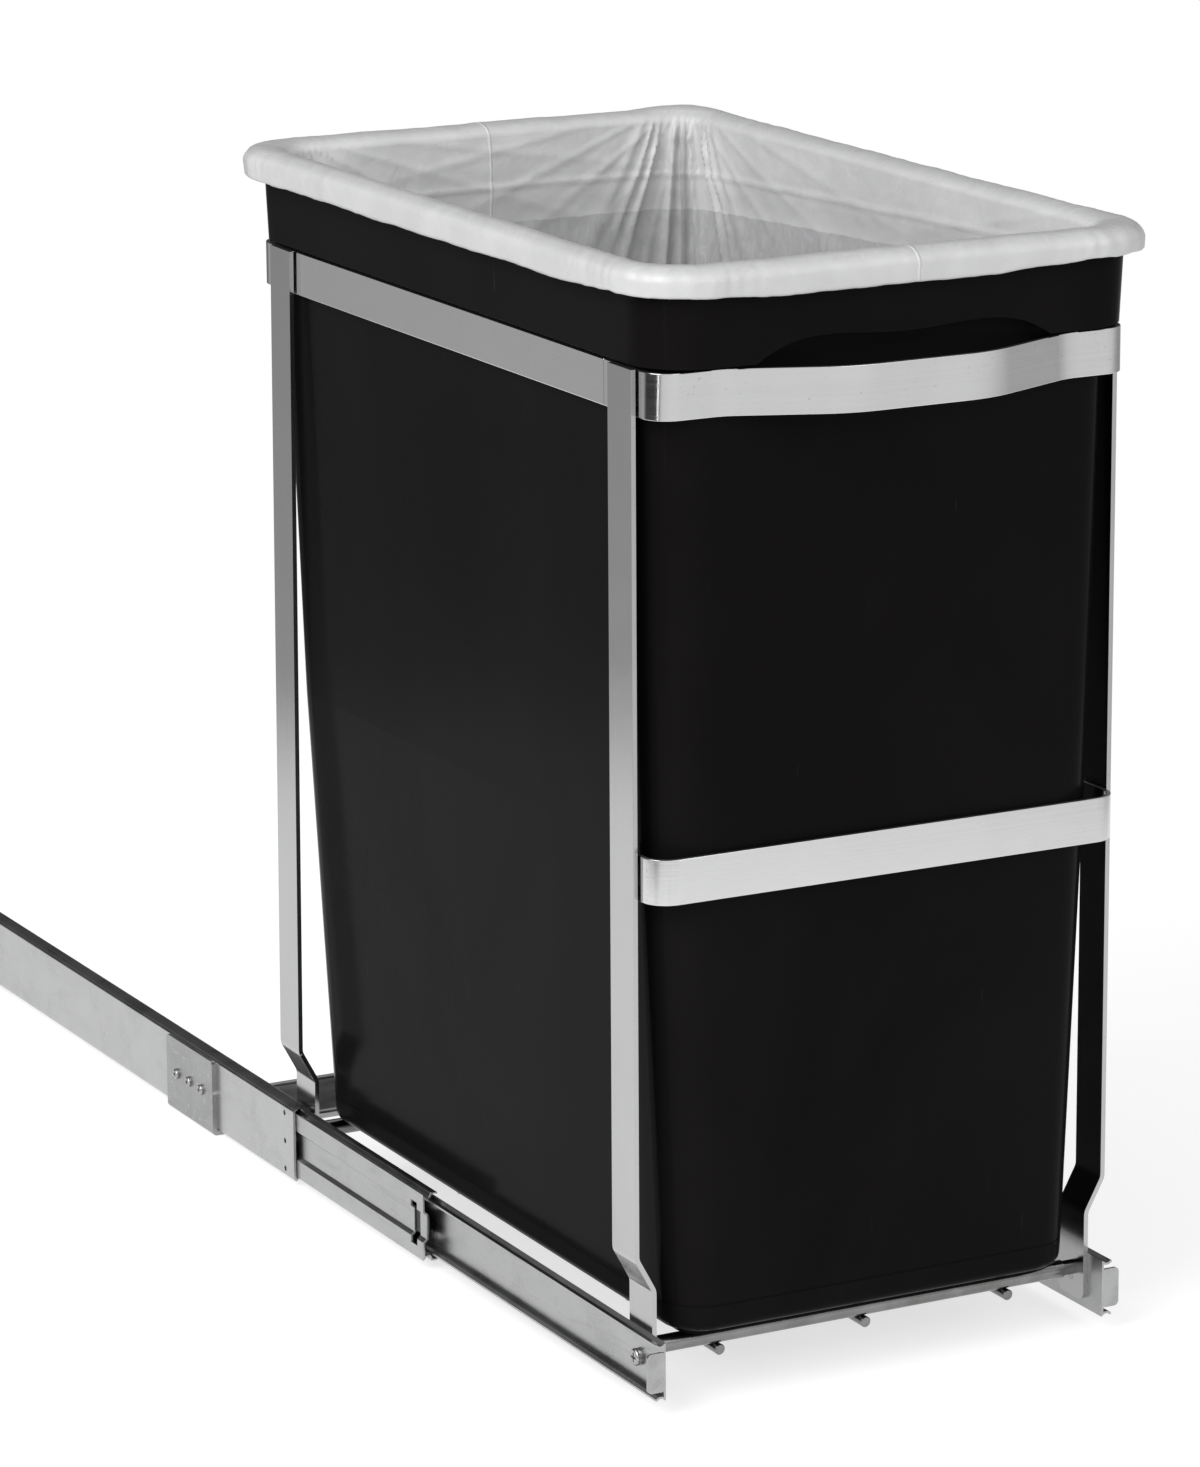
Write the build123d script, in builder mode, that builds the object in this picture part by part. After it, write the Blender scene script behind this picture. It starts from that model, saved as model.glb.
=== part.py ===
"""Pull-out waste bin for a kitchen base cabinet.

Two three-part ball slides are screwed to the cabinet floor through a cross strap and two small rear
feet.  They carry a flat-bar steel frame, and a tapered plastic bucket with a film liner stands in it.

Frame: +Z up, +X to the right, -Y towards the user (the way the bin pulls out).  The origin is on the
cabinet floor at the centre of the four floor screws.  The bin is drawn pulled out.  All sizes in mm.
"""
from build123d import *
from math import atan2, degrees
import os

os.makedirs("parts", exist_ok=True)

# ---------------------------------------------------------------- driving dimensions
# Stations along the pull-out direction
front_of_posts = -605.0          # front edge of the front posts, bin pulled out
post_pitch = 346.0               # front post to rear post
cabinet_rail_front = front_of_posts + 349.8
middle_rail_front = front_of_posts + 210.0
inner_rail_front = front_of_posts - 12.3
slide_length = 450.0

# Carriage frame
post_width = 21.0
post_thickness = 2.2
post_outer_half = 120.0
post_top = 461.0
post_bottom = 11.5
foot_inset = 8.4                 # how far the foot steps in from the post
foot_step_top = 69.0
foot_step_bottom = 53.5
post_hole_radius = 2.0
rear_post_lean = 7.0             # how far the rear posts' tops lean forward of their screws
band_thickness = 2.2
band_height = 20.2
band_outer_half = 117.0
top_band_z = post_top - 0.2 - band_height
guard_band_z = 230.4
handle_reach = 21.2              # how far the handle bows out of the front band
tube_radius = 4.0
tube_bore_radius = 3.0
tube_half = 104.0
tube_z = 24.6
base_wire_radius = 2.5
base_wire_spread = 74.0
cross_wire_radius = 2.0
cross_wire_half = 84.0
cross_wire_stations = (66.0, 236.0)   # behind the front cross tube

# Slides
slide_outer_half = 121.6
slide_thickness = 10.0
rail_height = 36.6
cabinet_gauge = 1.2
middle_gauge = 1.0
inner_gauge = 1.0
inner_rail_hole_radius = 2.6
screw_station = post_width / 2

# Floor strap and rear feet
strap_thickness = 2.4
strap_width = 56.0
rear_foot_width = 40.0
floor_screw_rows = 272.0         # strap to rear feet
floor_screw_spacing = 200.0
floor_screw_hole_radius = 2.6
strap_y = -floor_screw_rows / 2
clip_height = 38.6
clip_screw_pitch = 15.0
clip_screw_radius = 1.4
clip_screw_stations = [strap_y + step * clip_screw_pitch for step in (-1, 0, 1)]
rail_mid_z = strap_thickness + rail_height / 2

# Bucket
bucket_bottom = 28.9
bucket_rim = 504.0
wall_thickness = 2.4
skirt_bottom = 462.6
skirt_wall = 2.4
lip_bottom = 494.0
lip_half = 123.4

# Liner
film = 0.6
liner_top = bucket_rim + 1.6
liner_fold_bottom = 491.0
liner_fold_half = 125.8

front_tube_y = front_of_posts + post_width / 2
rear_post_front = front_of_posts + post_pitch
rear_tube_y = rear_post_front + post_width / 2
ring_front = front_of_posts - 15.5
ring_rear = front_of_posts + 380.8


def save(piece, node):
    """Label a finished piece and write it as one STEP file."""
    piece.label = node
    export_step(piece, f"parts/{node}.step")


def facing_back(y):
    """Plane across the slides at station y: local x runs to -X, local y runs up, normal to +Y."""
    return Plane(origin=(0, y, 0), x_dir=(-1, 0, 0), z_dir=(0, 1, 0))


def rounded_outline(half_x, front, rear, z, corner):
    """A face: rounded rectangle from front to rear at height z."""
    with BuildSketch(Plane.XY.offset(z)) as outline:
        with Locations((0, (front + rear) / 2)):
            RectangleRounded(2 * half_x, rear - front, corner)
    return outline.sketch


# ---------------------------------------------------------------- slides
# Section points are (depth, rise): depth from the slide's outer face towards the bin, rise from the
# slide's centre line.  Each list is the upper half; the lower half is its mirror image.
MIDDLE_HALF = [(3.8, 6.0), (2.0, 7.5), (2.0, 15.1), (2.9, 14.2), (5.0, 14.2), (6.0, 16.3), (8.4, 16.3),
               (9.0, 15.9)]
INNER_HALF = [(9.5, 12.4), (8.3, 11.6), (6.7, 11.6), (5.5, 12.4), (5.0, 12.4)]


def slide_point(sign, depth, rise):
    """Slide section point on a facing_back plane, for the left (-1) or right (+1) slide."""
    return (-sign * (slide_outer_half - depth), rail_mid_z + rise)


def rail_from_section(half, gauge, sign, front):
    """Constant-gauge rail: the section's centre line given thickness, drawn out to the slide length."""
    points = [slide_point(sign, d, -r) for d, r in reversed(half)]
    points += [slide_point(sign, d, r) for d, r in half]
    with BuildPart() as rail:
        with BuildSketch(facing_back(front)):
            with BuildLine():
                Polyline(*points)
            trace(line_width=gauge)
        extrude(amount=slide_length)
    return rail.part


def cabinet_rail(sign):
    """Outer member: a plain channel with its front flange ends cut back at 45 degrees."""
    flange = 9.0
    cut_back = 8.0
    web_middle = slide_outer_half - flange / 2
    with BuildPart() as rail:
        with BuildSketch(facing_back(cabinet_rail_front)):
            with Locations((-sign * web_middle, rail_mid_z)):
                RectangleRounded(flange, rail_height, 1.6)
            with Locations((-sign * (web_middle - cabinet_gauge), rail_mid_z)):
                Rectangle(flange, rail_height - 2 * cabinet_gauge, mode=Mode.SUBTRACT)
        extrude(amount=slide_length)
        with BuildSketch(Plane.XY.offset(rail_mid_z - rail_height)):
            inner_x = sign * (slide_outer_half - flange - 0.5)
            outer_x = sign * (slide_outer_half - cabinet_gauge)
            with BuildLine():
                Polyline((inner_x, cabinet_rail_front - 1), (outer_x, cabinet_rail_front - 1),
                         (outer_x, cabinet_rail_front), (inner_x, cabinet_rail_front + cut_back),
                         close=True)
            make_face()
        extrude(amount=2 * rail_height, mode=Mode.SUBTRACT)
        web_plane = Plane(origin=(sign * slide_outer_half, 0, rail_mid_z), x_dir=(0, 1, 0),
                          z_dir=(sign, 0, 0))
        with BuildSketch(web_plane):
            rise = 14.2
            with Locations(*[(cabinet_rail_front + 10, sign * step * rise) for step in (-1, 0, 1)]):
                Circle(1.3)
            with Locations(*[(y, 0) for y in clip_screw_stations]):
                Circle(clip_screw_radius)
        extrude(amount=-cabinet_gauge, mode=Mode.SUBTRACT)
    return rail.part


def middle_rail(sign):
    """Intermediate member, with the stamped slot behind its front end."""
    slot_setback = 6.5
    slot_width = 6.5
    slot_height = 21.0
    with BuildPart() as rail:
        add(rail_from_section(MIDDLE_HALF, middle_gauge, sign, middle_rail_front))
        slot_x = sign * (slide_outer_half - 3.0)
        slot_y = middle_rail_front + slot_setback + slot_width / 2
        with Locations((slot_x, slot_y, rail_mid_z)):
            Box(4.0, slot_width, slot_height, mode=Mode.SUBTRACT)
    return rail.part


def middle_stop(sign):
    """Plastic buffer lying on the middle rail's raised centre."""
    length = 19.0
    thickness = 1.2
    clearance = 0.05
    depth = 4.3 + clearance + thickness / 2
    with BuildPart() as stop:
        with Locations((sign * (slide_outer_half - depth), middle_rail_front + 1 + length / 2, rail_mid_z)):
            Box(thickness, length, 10.8)
        fillet(stop.edges().filter_by(Axis.X), 2.0)
    return stop.part


def inner_rail(sign):
    """Inner member, screwed to the post feet, with a rounded stop tab across its front end."""
    tab_reach = 8.9
    tab_height = 18.2
    tab_middle = slide_outer_half - slide_thickness + tab_reach / 2
    with BuildPart() as rail:
        add(rail_from_section(INNER_HALF, inner_gauge, sign, inner_rail_front))
        with BuildSketch(facing_back(inner_rail_front)):
            with Locations((-sign * tab_middle, rail_mid_z)):
                RectangleRounded(tab_reach, tab_height, 2.2)
            with Locations((-sign * (slide_outer_half - 9.5), rail_mid_z)):
                Rectangle(1.0, tab_height)
        extrude(amount=1.2)
        web_plane = Plane(origin=(sign * (slide_outer_half - slide_thickness), 0, rail_mid_z),
                          x_dir=(0, 1, 0), z_dir=(sign, 0, 0))
        with BuildSketch(web_plane):
            with Locations(*[(y, 0) for y in (front_tube_y, rear_tube_y)]):
                Circle(inner_rail_hole_radius)
        extrude(amount=inner_gauge, mode=Mode.SUBTRACT)
    return rail.part


def ball_cage(sign, ball_depth, ball_rise, ball_radius, strip_width, front):
    """Upper and lower retainer strips, each with its row of balls."""
    strip_thickness = 0.8
    strip_length = 190.0
    ball_count = 7
    pitch = strip_length / ball_count
    stations = [front + pitch * (i + 0.5) for i in range(ball_count)]
    x = sign * (slide_outer_half - ball_depth)
    with BuildPart() as cage:
        for side in (-1, 1):
            z = rail_mid_z + side * ball_rise
            with Locations((x, front + strip_length / 2, z)):
                Box(strip_width, strip_length, strip_thickness)
            with Locations(*[(x, y, z) for y in stations]):
                Sphere(ball_radius)
    return cage.part


# Where each cage's balls run between two rails, and its front end with the bin pulled out
OUTER_CAGE = {"ball_depth": 3.9, "ball_rise": 15.9, "ball_radius": 1.15, "strip_width": 1.7,
              "front": cabinet_rail_front + 60.0}
INNER_CAGE = {"ball_depth": 7.5, "ball_rise": 14.0, "ball_radius": 1.7, "strip_width": 2.0,
              "front": middle_rail_front + 18.0}


for side, sign in (("left", -1), ("right", 1)):
    save(cabinet_rail(sign), f"{side}_cabinet_rail")
    save(middle_rail(sign), f"{side}_middle_rail")
    save(middle_stop(sign), f"{side}_middle_stop")
    save(inner_rail(sign), f"{side}_inner_rail")
    save(ball_cage(sign, **OUTER_CAGE), f"{side}_outer_ball_cage")
    save(ball_cage(sign, **INNER_CAGE), f"{side}_inner_ball_cage")


# ---------------------------------------------------------------- floor strap, rear feet and their screws
def floor_strap():
    """Cross strap under both rails: ends turned up as clips, edges hemmed, two floor screw holes."""
    clip_outer = slide_outer_half + strap_thickness
    hem_half = 104.0
    hem_radius = 2.0
    with BuildPart() as strap:
        with BuildSketch(facing_back(strap_y - strap_width / 2)):
            with BuildLine():
                Polyline((-clip_outer, clip_height), (-clip_outer, 0), (clip_outer, 0),
                         (clip_outer, clip_height), (slide_outer_half, clip_height),
                         (slide_outer_half, strap_thickness), (-slide_outer_half, strap_thickness),
                         (-slide_outer_half, clip_height), close=True)
            make_face()
        extrude(amount=strap_width)
        outer_bends = strap.edges().filter_by(Axis.Y).group_by(Axis.Z)[0]
        fillet(outer_bends, strap_thickness * 0.9)
        fillet(strap.edges().filter_by(Axis.X).group_by(Axis.Z)[-1], 2.0)
        with BuildSketch(Plane.YZ.offset(-hem_half)):
            hem_offset = strap_width / 2 - hem_radius
            with Locations(*[(strap_y + end * hem_offset, hem_radius) for end in (-1, 1)]):
                Circle(hem_radius)
        extrude(amount=2 * hem_half)
        with BuildSketch(Plane.XY):
            with Locations(*[(end * floor_screw_spacing / 2, strap_y) for end in (-1, 1)]):
                Circle(floor_screw_hole_radius)
        extrude(amount=strap_thickness, mode=Mode.SUBTRACT)
        with BuildSketch(Plane.YZ.offset(-clip_outer)):
            with Locations(*[(y, rail_mid_z) for y in clip_screw_stations]):
                Circle(clip_screw_radius)
        extrude(amount=2 * clip_outer, mode=Mode.SUBTRACT)
    return strap.part


def rear_foot(sign):
    """Small plate welded under the rear of one rail, with its floor screw hole."""
    outer_end = slide_outer_half - 4.0
    inner_end = 86.0
    with BuildPart() as foot:
        with BuildSketch(Plane.XY):
            with Locations((sign * (outer_end + inner_end) / 2, floor_screw_rows / 2)):
                RectangleRounded(outer_end - inner_end, rear_foot_width, 4.0)
            with Locations((sign * floor_screw_spacing / 2, floor_screw_rows / 2)):
                Circle(floor_screw_hole_radius, mode=Mode.SUBTRACT)
        extrude(amount=strap_thickness)
    return foot.part


save(floor_strap(), "floor_strap")
for side, sign in (("left", -1), ("right", 1)):
    save(rear_foot(sign), f"{side}_rear_foot")


def pan_screw(head_radius, head_height, shank_radius, shank_length, direction):
    """Pan-head screw with a cross recess; its head's underside is at the local origin."""
    with BuildPart() as screw:
        with BuildSketch(Plane.YZ):
            Circle(head_radius)
        extrude(amount=direction * head_height)
        rim = screw.edges().filter_by(GeomType.CIRCLE).sort_by(Axis.X)[0 if direction < 0 else -1]
        fillet(rim, head_height * 0.55)
        recess_plane = Plane.YZ.offset(direction * head_height)
        with BuildSketch(recess_plane):
            Rectangle(head_radius * 1.1, head_radius * 0.24)
            Rectangle(head_radius * 0.24, head_radius * 1.1)
        extrude(amount=-direction * head_height * 0.5, mode=Mode.SUBTRACT)
        with BuildSketch(Plane.YZ):
            Circle(shank_radius)
        extrude(amount=-direction * shank_length)
    return screw.part


def clip_screws():
    """Three self-tapping screws through each clip into the cabinet rail's web."""
    depth = strap_thickness + cabinet_gauge
    with BuildPart() as screws:
        for sign in (-1, 1):
            screw = pan_screw(2.6, 1.7, clip_screw_radius, depth, sign)
            for y in clip_screw_stations:
                add(screw.moved(Location((sign * (slide_outer_half + strap_thickness), y, rail_mid_z))))
    return screws.part


save(clip_screws(), "clip_screws")


# ---------------------------------------------------------------- carriage frame
def post(sign, front, lean):
    """Flat-bar post with its foot stepped inwards to the slide, leaning forward about its screw."""
    step = [(post_outer_half, post_top), (post_outer_half, foot_step_top),
            (post_outer_half - foot_inset, foot_step_bottom), (post_outer_half - foot_inset, post_bottom)]
    centre_line = [(-sign * (x - post_thickness / 2), z) for x, z in step]
    foot_x = sign * (post_outer_half - foot_inset - post_thickness / 2)
    with BuildPart() as bar:
        with BuildSketch(facing_back(front)):
            with BuildLine():
                FilletPolyline(*centre_line, radius=6.0)
            trace(line_width=post_thickness)
        extrude(amount=post_width)
        foot_corners = bar.edges().filter_by(Axis.X).group_by(Axis.Z)[0]
        fillet(foot_corners, 4.0)
        with Locations((foot_x, front + screw_station, rail_mid_z)):
            Cylinder(post_hole_radius, 2 * post_thickness, rotation=(0, 90, 0), mode=Mode.SUBTRACT)
    screw_axis = Axis((0, front + screw_station, rail_mid_z), (1, 0, 0))
    return bar.part.rotate(screw_axis, degrees(atan2(lean, post_top - rail_mid_z)))


def band(points, radii, bottom, height):
    """Flat bar on edge, bent along a path seen from above."""
    with BuildPart() as bar:
        with BuildSketch(Plane.XY.offset(bottom)):
            with BuildLine():
                FilletPolyline(*points, radius=radii)
            trace(line_width=band_thickness)
        extrude(amount=height)
    return bar.part


ring_half = band_outer_half - band_thickness / 2      # centre line of the top ring and guard band
handle_end = front_of_posts + 30.0
front_line = ring_front + band_thickness / 2
rear_line = ring_rear - band_thickness / 2
rear_join = ring_rear - 40.0
corner_bend = 11.0

for side, sign in (("left", -1), ("right", 1)):
    save(post(sign, front_of_posts, 0.0), f"front_{side}_post")
    save(post(sign, rear_post_front, rear_post_lean), f"rear_{side}_post")

bow = [(-84.0, front_line), (-34.0, front_line - handle_reach), (34.0, front_line - handle_reach),
       (84.0, front_line)]
handle_path = [(-ring_half, handle_end), (-ring_half, front_line), *bow, (ring_half, front_line),
               (ring_half, handle_end)]
save(band(handle_path, [corner_bend, 30, 60, 60, 30, corner_bend], top_band_z, band_height), "handle_band")

rear_path = [(-ring_half, rear_join), (-ring_half, rear_line), (ring_half, rear_line), (ring_half, rear_join)]
save(band(rear_path, corner_bend, top_band_z, band_height), "rear_top_band")

for side, sign in (("left", -1), ("right", 1)):
    with BuildPart() as side_band:
        with BuildSketch(Plane.XY.offset(top_band_z)):
            with Locations((sign * ring_half, (handle_end + rear_join) / 2)):
                Rectangle(band_thickness, rear_join - handle_end)
        extrude(amount=band_height)
    save(side_band.part, f"{side}_top_band")

guard_line = front_of_posts - 12.4
guard_path = [(-ring_half, front_of_posts + 19), (-ring_half, guard_line), (ring_half, guard_line),
              (ring_half, front_of_posts + 19)]
guard = band(guard_path, corner_bend, guard_band_z, band_height)
save(guard, "guard_band")

with BuildPart() as weld_pads:
    pad_size = 12.0
    pad_gap = post_outer_half - post_thickness - band_outer_half
    pad_x = band_outer_half + pad_gap / 2
    band_mid = band_height / 2
    for sign in (-1, 1):
        pads = [(front_of_posts + screw_station, top_band_z + band_mid),
                (rear_post_front + screw_station - rear_post_lean, top_band_z + band_mid),
                (front_of_posts + screw_station, guard_band_z + band_mid)]
        with Locations(*[(sign * pad_x, y, z) for y, z in pads]):
            Box(pad_gap, pad_size, pad_size)
save(weld_pads.part, "weld_pads")

foot_inner = post_outer_half - foot_inset - post_thickness
for name, y in (("front_cross_tube", front_tube_y), ("rear_cross_tube", rear_tube_y)):
    with BuildPart() as tube:
        with BuildSketch(Plane.YZ.offset(-tube_half)):
            with Locations((y, tube_z)):
                Circle(tube_radius)
                Circle(tube_bore_radius, mode=Mode.SUBTRACT)
        extrude(amount=2 * tube_half)
    save(tube.part, name)

with BuildPart() as tube_plugs:
    plug_depth = 12.0
    collar_radius = 3.4
    collar = foot_inner - tube_half
    with Locations(*[(0, y, tube_z) for y in (front_tube_y, rear_tube_y)]):
        for sign in (-1, 1):
            with Locations((sign * (tube_half + collar / 2), 0, 0)):
                Cylinder(collar_radius, collar, rotation=(0, 90, 0))
            with Locations((sign * (tube_half - plug_depth / 2), 0, 0)):
                Cylinder(tube_bore_radius, plug_depth, rotation=(0, 90, 0))
save(tube_plugs.part, "tube_plugs")

base_wire_z = tube_z - tube_radius - base_wire_radius
base_wire_overhang = 3.5
base_wire_length = post_pitch + 2 * base_wire_overhang
for name, x in (("left_base_wire", -base_wire_spread), ("centre_base_wire", 0.0),
                ("right_base_wire", base_wire_spread)):
    with BuildPart() as wire:
        with Locations((x, (front_tube_y + rear_tube_y) / 2, base_wire_z)):
            Cylinder(base_wire_radius, base_wire_length, rotation=(90, 0, 0))
        chamfer(wire.edges().filter_by(GeomType.CIRCLE), 0.4)
    save(wire.part, name)

cross_wire_z = base_wire_z + base_wire_radius + cross_wire_radius
for name, station in zip(("front_cross_wire", "rear_cross_wire"), cross_wire_stations):
    with BuildPart() as wire:
        with Locations((0, front_tube_y + station, cross_wire_z)):
            Cylinder(cross_wire_radius, 2 * cross_wire_half, rotation=(0, 90, 0))
        fillet(wire.edges().filter_by(GeomType.CIRCLE), 0.8)
    save(wire.part, name)


def post_fasteners():
    """One pan-head screw and one washer per post, from the slide side into the foot."""
    washer_radius = 3.7
    washer_bore_radius = 2.1
    washer_thickness = 0.8
    head_radius = 3.9
    head_height = 2.1
    shank_radius = 1.98
    shank_length = washer_thickness + inner_gauge + post_thickness
    web_face = slide_outer_half - slide_thickness + inner_gauge
    screws = []
    washers = []
    for sign in (-1, 1):
        with BuildPart() as washer:
            with BuildSketch(Plane.YZ):
                Circle(washer_radius)
                Circle(washer_bore_radius, mode=Mode.SUBTRACT)
            extrude(amount=sign * washer_thickness)
        screw = pan_screw(head_radius, head_height, shank_radius, shank_length, sign)
        head_x = sign * (web_face + washer_thickness)
        for y in (front_tube_y, rear_tube_y):
            washers.append(washer.part.moved(Location((sign * web_face, y, rail_mid_z))))
            screws.append(screw.moved(Location((head_x, y, rail_mid_z))))
    return screws, washers


fastener_screws, fastener_washers = post_fasteners()
with BuildPart() as post_screws:
    add(fastener_screws)
save(post_screws.part, "post_screws")
with BuildPart() as post_washers:
    add(fastener_washers)
save(post_washers.part, "post_washers")


# ---------------------------------------------------------------- bucket
# Body stations: height, half width, front and rear (from the front of the posts), corner radius
BODY = [(34.0, 101.0, -7.0, 359.5, 20.0),
        (246.0, 110.0, -9.6, 368.0, 23.0),
        (503.0, 115.2, -13.4, 378.0, 25.0)]
BODY_FOOT, BODY_TOP = BODY[0], BODY[-1]
# Skirt and rim: half width, front and rear, corner radius, and how much the skirt widens upwards
skirt_half, skirt_front, skirt_rear, skirt_corner = 118.7, -22.2, 385.4, 27.0
skirt_flare = 1.4
lip_flare = 1.0
body_bottom = 31.5


def body_outline(station, inset, z):
    """The body's outline at a station, moved in by inset and laid at height z."""
    half, front, rear, corner = station[1:]
    return rounded_outline(half - inset, front_of_posts + front + inset, front_of_posts + rear - inset, z,
                           corner - inset)


def body_solid(inset, bottom):
    """The bucket's tapered body, moved in by inset on every side, from the given bottom up."""
    with BuildPart() as body:
        for lower, upper in zip(BODY, BODY[1:]):
            add(body_outline(lower, inset, lower[0]))
            add(body_outline(upper, inset, upper[0]))
            loft(ruled=True)
        if bottom < BODY_FOOT[0]:
            extrude(body_outline(BODY_FOOT, inset, bottom), amount=BODY_FOOT[0] - bottom, dir=(0, 0, 1))
    return body.part


def rim_block(grow, low, high, flare):
    """The skirt's rounded outline moved out by grow, widening by flare from low to high."""
    half, corner = skirt_half + grow, skirt_corner + grow
    front, rear = front_of_posts + skirt_front - grow, front_of_posts + skirt_rear + grow
    with BuildPart() as block:
        add(rounded_outline(half, front, rear, low, corner))
        add(rounded_outline(half + flare, front - flare, rear + flare, high, corner))
        loft(ruled=True)
    return block.part


def finger_arch():
    """Cutter for the shallow arch in the skirt's front edge, above the handle band."""
    half = 72.0
    shoulder = half - 14.0
    margin = 6.0
    rise = 7.0
    crown = rise + 0.8
    below = skirt_bottom - 2.0
    with BuildPart() as cutter:
        with BuildSketch(facing_back(front_of_posts + skirt_front - 3)):
            with BuildLine():
                Polyline((half, skirt_bottom), (half + margin, skirt_bottom), (half + margin, below),
                         (-half - margin, below), (-half - margin, skirt_bottom), (-half, skirt_bottom))
                Spline((half, skirt_bottom), (shoulder, skirt_bottom + rise), (0, skirt_bottom + crown),
                       (-shoulder, skirt_bottom + rise), (-half, skirt_bottom))
            make_face()
        extrude(amount=skirt_wall + 4.0)
    return cutter.part


def mould_line():
    """Cutter for the fine groove round the bucket, where the mould's base insert meets its walls."""
    low = 44.0
    width = 1.0
    depth = 0.4
    lower, upper = BODY[0], BODY[1]
    share = (low - lower[0]) / (upper[0] - lower[0])
    station = [a + (b - a) * share for a, b in zip(lower, upper)]
    with BuildPart() as cutter:
        extrude(body_outline(station, -5.0, low), amount=width, dir=(0, 0, 1))
        extrude(body_outline(station, depth, low), amount=width, dir=(0, 0, 1), mode=Mode.SUBTRACT)
    return cutter.part


lip_grow = lip_half - lip_flare - skirt_half
outer_body = body_solid(0, body_bottom)
mould_groove = mould_line()
skirt_channel = rim_block(-skirt_wall, skirt_bottom - 1, bucket_rim - 3.0, skirt_flare) - outer_body
arch_cutter = finger_arch()
with BuildPart() as bucket:
    base_edge_radius = 6.0
    rim_edge_radius = 4.0
    foot_ring_inset = 8.0
    foot_ring_height = 6.0
    add(outer_body)
    fillet(bucket.edges().group_by(Axis.Z)[0], base_edge_radius)
    extrude(body_outline(BODY_FOOT, foot_ring_inset, bucket_bottom), amount=foot_ring_height, dir=(0, 0, 1))
    add(rim_block(0, skirt_bottom, bucket_rim, skirt_flare))
    add(rim_block(lip_grow, lip_bottom, bucket_rim, lip_flare))
    fillet(bucket.edges().group_by(Axis.Z)[-1], rim_edge_radius)
    add(skirt_channel, mode=Mode.SUBTRACT)
    add(body_solid(wall_thickness, BODY_FOOT[0]), mode=Mode.SUBTRACT)
    extrude(body_outline(BODY_TOP, wall_thickness, BODY_TOP[0]), amount=5.0, dir=(0, 0, 1),
            mode=Mode.SUBTRACT)
    add(arch_cutter, mode=Mode.SUBTRACT)
    add(mould_groove, mode=Mode.SUBTRACT)
save(bucket.part, "bucket")


# ---------------------------------------------------------------- liner
bag_gap = 0.5
bag_floor = 35.0
bag_inset = wall_thickness + bag_gap
fold_flare = 1.0
fold_edge_radius = 5.0
fold_grow = liner_fold_half - fold_flare - skirt_half


def fold_block(inset, low, edge_radius):
    """The fold-over band as a solid with a rounded top edge, moved in by inset."""
    with BuildPart() as block:
        add(rim_block(fold_grow - inset, low, liner_top - inset, fold_flare))
        fillet(block.edges().group_by(Axis.Z)[-1], edge_radius)
    return block.part


outside_of_fold = fold_block(0, liner_fold_bottom, fold_edge_radius)
inside_of_fold = fold_block(film, liner_fold_bottom - 1, fold_edge_radius - 0.4)
with BuildPart() as liner:
    add(outside_of_fold)
    add(inside_of_fold, mode=Mode.SUBTRACT)
    add(body_solid(bag_inset, bag_floor))
    neck_height = liner_top - BODY_TOP[0] - 0.01
    extrude(body_outline(BODY_TOP, bag_inset, BODY_TOP[0]), amount=neck_height, dir=(0, 0, 1))
    add(body_solid(bag_inset + film, bag_floor + film), mode=Mode.SUBTRACT)
    extrude(body_outline(BODY_TOP, bag_inset + film, BODY_TOP[0]), amount=8.0, dir=(0, 0, 1),
            mode=Mode.SUBTRACT)
save(liner.part, "liner")
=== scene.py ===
"""Pull-out kitchen bin: how each piece of the steel frame, its slides, the bucket and its liner looks.

The file follows the bin as it is put together, from the floor slides up to the liner.  All sizes are in
metres, in the part's own frame: +Z up, +X to the right, -Y towards the user, drawn pulled out.
"""
import math

import bpy
import numpy as np
from mathutils import Matrix, Vector, noise


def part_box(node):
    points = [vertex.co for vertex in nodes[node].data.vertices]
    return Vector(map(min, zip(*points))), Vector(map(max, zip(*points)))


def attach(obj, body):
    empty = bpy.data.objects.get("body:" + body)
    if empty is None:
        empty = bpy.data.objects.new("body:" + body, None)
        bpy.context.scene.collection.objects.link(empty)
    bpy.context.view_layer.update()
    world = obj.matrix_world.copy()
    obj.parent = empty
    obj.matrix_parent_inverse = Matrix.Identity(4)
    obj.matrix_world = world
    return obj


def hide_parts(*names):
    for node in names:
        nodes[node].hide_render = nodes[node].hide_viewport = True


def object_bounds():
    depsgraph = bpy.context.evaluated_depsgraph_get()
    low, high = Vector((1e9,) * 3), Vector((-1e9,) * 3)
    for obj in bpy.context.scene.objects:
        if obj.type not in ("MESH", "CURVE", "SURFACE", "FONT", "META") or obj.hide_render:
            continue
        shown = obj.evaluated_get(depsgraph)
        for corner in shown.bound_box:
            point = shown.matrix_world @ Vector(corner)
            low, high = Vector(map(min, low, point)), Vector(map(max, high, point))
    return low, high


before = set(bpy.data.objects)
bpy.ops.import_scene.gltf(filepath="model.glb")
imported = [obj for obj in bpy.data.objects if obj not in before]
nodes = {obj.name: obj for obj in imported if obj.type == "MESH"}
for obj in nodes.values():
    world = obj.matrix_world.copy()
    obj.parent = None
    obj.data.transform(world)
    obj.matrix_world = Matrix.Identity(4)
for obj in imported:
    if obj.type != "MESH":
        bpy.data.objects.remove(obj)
cad_low, cad_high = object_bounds()
SIDES = ("left", "right")

# ------------------------------------------------------------------ slide rails
# Three-part ball slides, roll-formed from cold-rolled strip and zinc plated.  The plating is faintly
# mottled, with rolling lines along the rail, and grease has left grey smears in the ball tracks.


def start_finish(name):
    """A new material with one Principled shader: the material, its node tree and the shader."""
    finish = bpy.data.materials.new(name)
    finish.use_nodes = True
    tree = finish.node_tree
    return finish, tree, tree.nodes["Principled BSDF"]


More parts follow.
